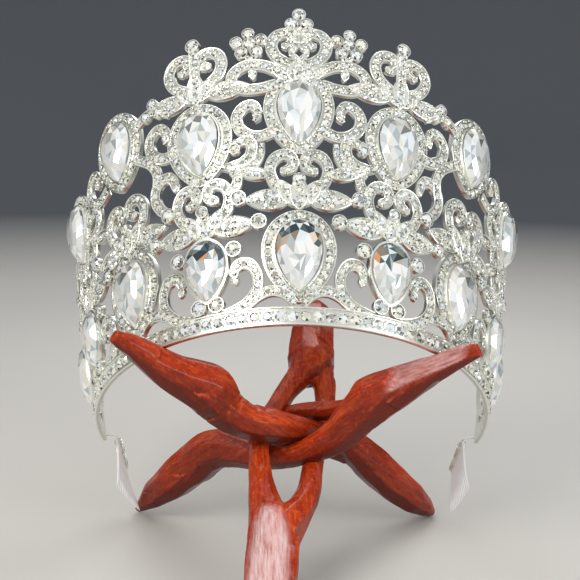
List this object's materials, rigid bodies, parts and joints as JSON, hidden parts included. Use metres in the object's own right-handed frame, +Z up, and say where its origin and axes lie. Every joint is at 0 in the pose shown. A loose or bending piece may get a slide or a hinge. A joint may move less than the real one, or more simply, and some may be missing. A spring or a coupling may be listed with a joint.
{
  "type": "pageant crown on a three-legged wooden stand",
  "caption": "Tall flared pageant crown of pierced silver scrollwork with pear and round crystals and hair combs, leaning back on a carved wooden tripod stand.",
  "frame": {"origin": "on the table, under the middle of the stand", "axes": "+Z up, -Y toward the front of the crown, +X to the right of someone who looks at the front"},
  "size_m": [0.199, 0.154, 0.2198],
  "materials": {
    "silver_plate": "bright silver plate over a zinc alloy casting",
    "crystal": "faceted clear glass with a silvered back",
    "clear_plastic": "clear moulded plastic",
    "red_wood": "carved hardwood, red stain and gloss varnish"
  },
  "bodies": {
    "root": {"crown_frame": "silver_plate", "round_stones": "crystal", "pear_stone_1": "crystal", "pear_stone_2": "crystal", "pear_stone_3": "crystal", "pear_stone_4": "crystal", "pear_stone_5": "crystal", "pear_stone_6": "crystal", "pear_stone_7": "crystal", "pear_stone_8": "crystal", "pear_stone_9": "crystal", "pear_stone_10": "crystal", "pear_stone_11": "crystal", "pear_stone_12": "crystal", "pear_stone_13": "crystal", "pear_stone_14": "crystal", "pear_stone_15": "crystal", "pear_stone_16": "crystal", "comb_left": "clear_plastic", "comb_right": "clear_plastic", "stand_leg_front": "red_wood", "stand_leg_left": "red_wood", "stand_leg_right": "red_wood"}
  },
  "joints": []
}
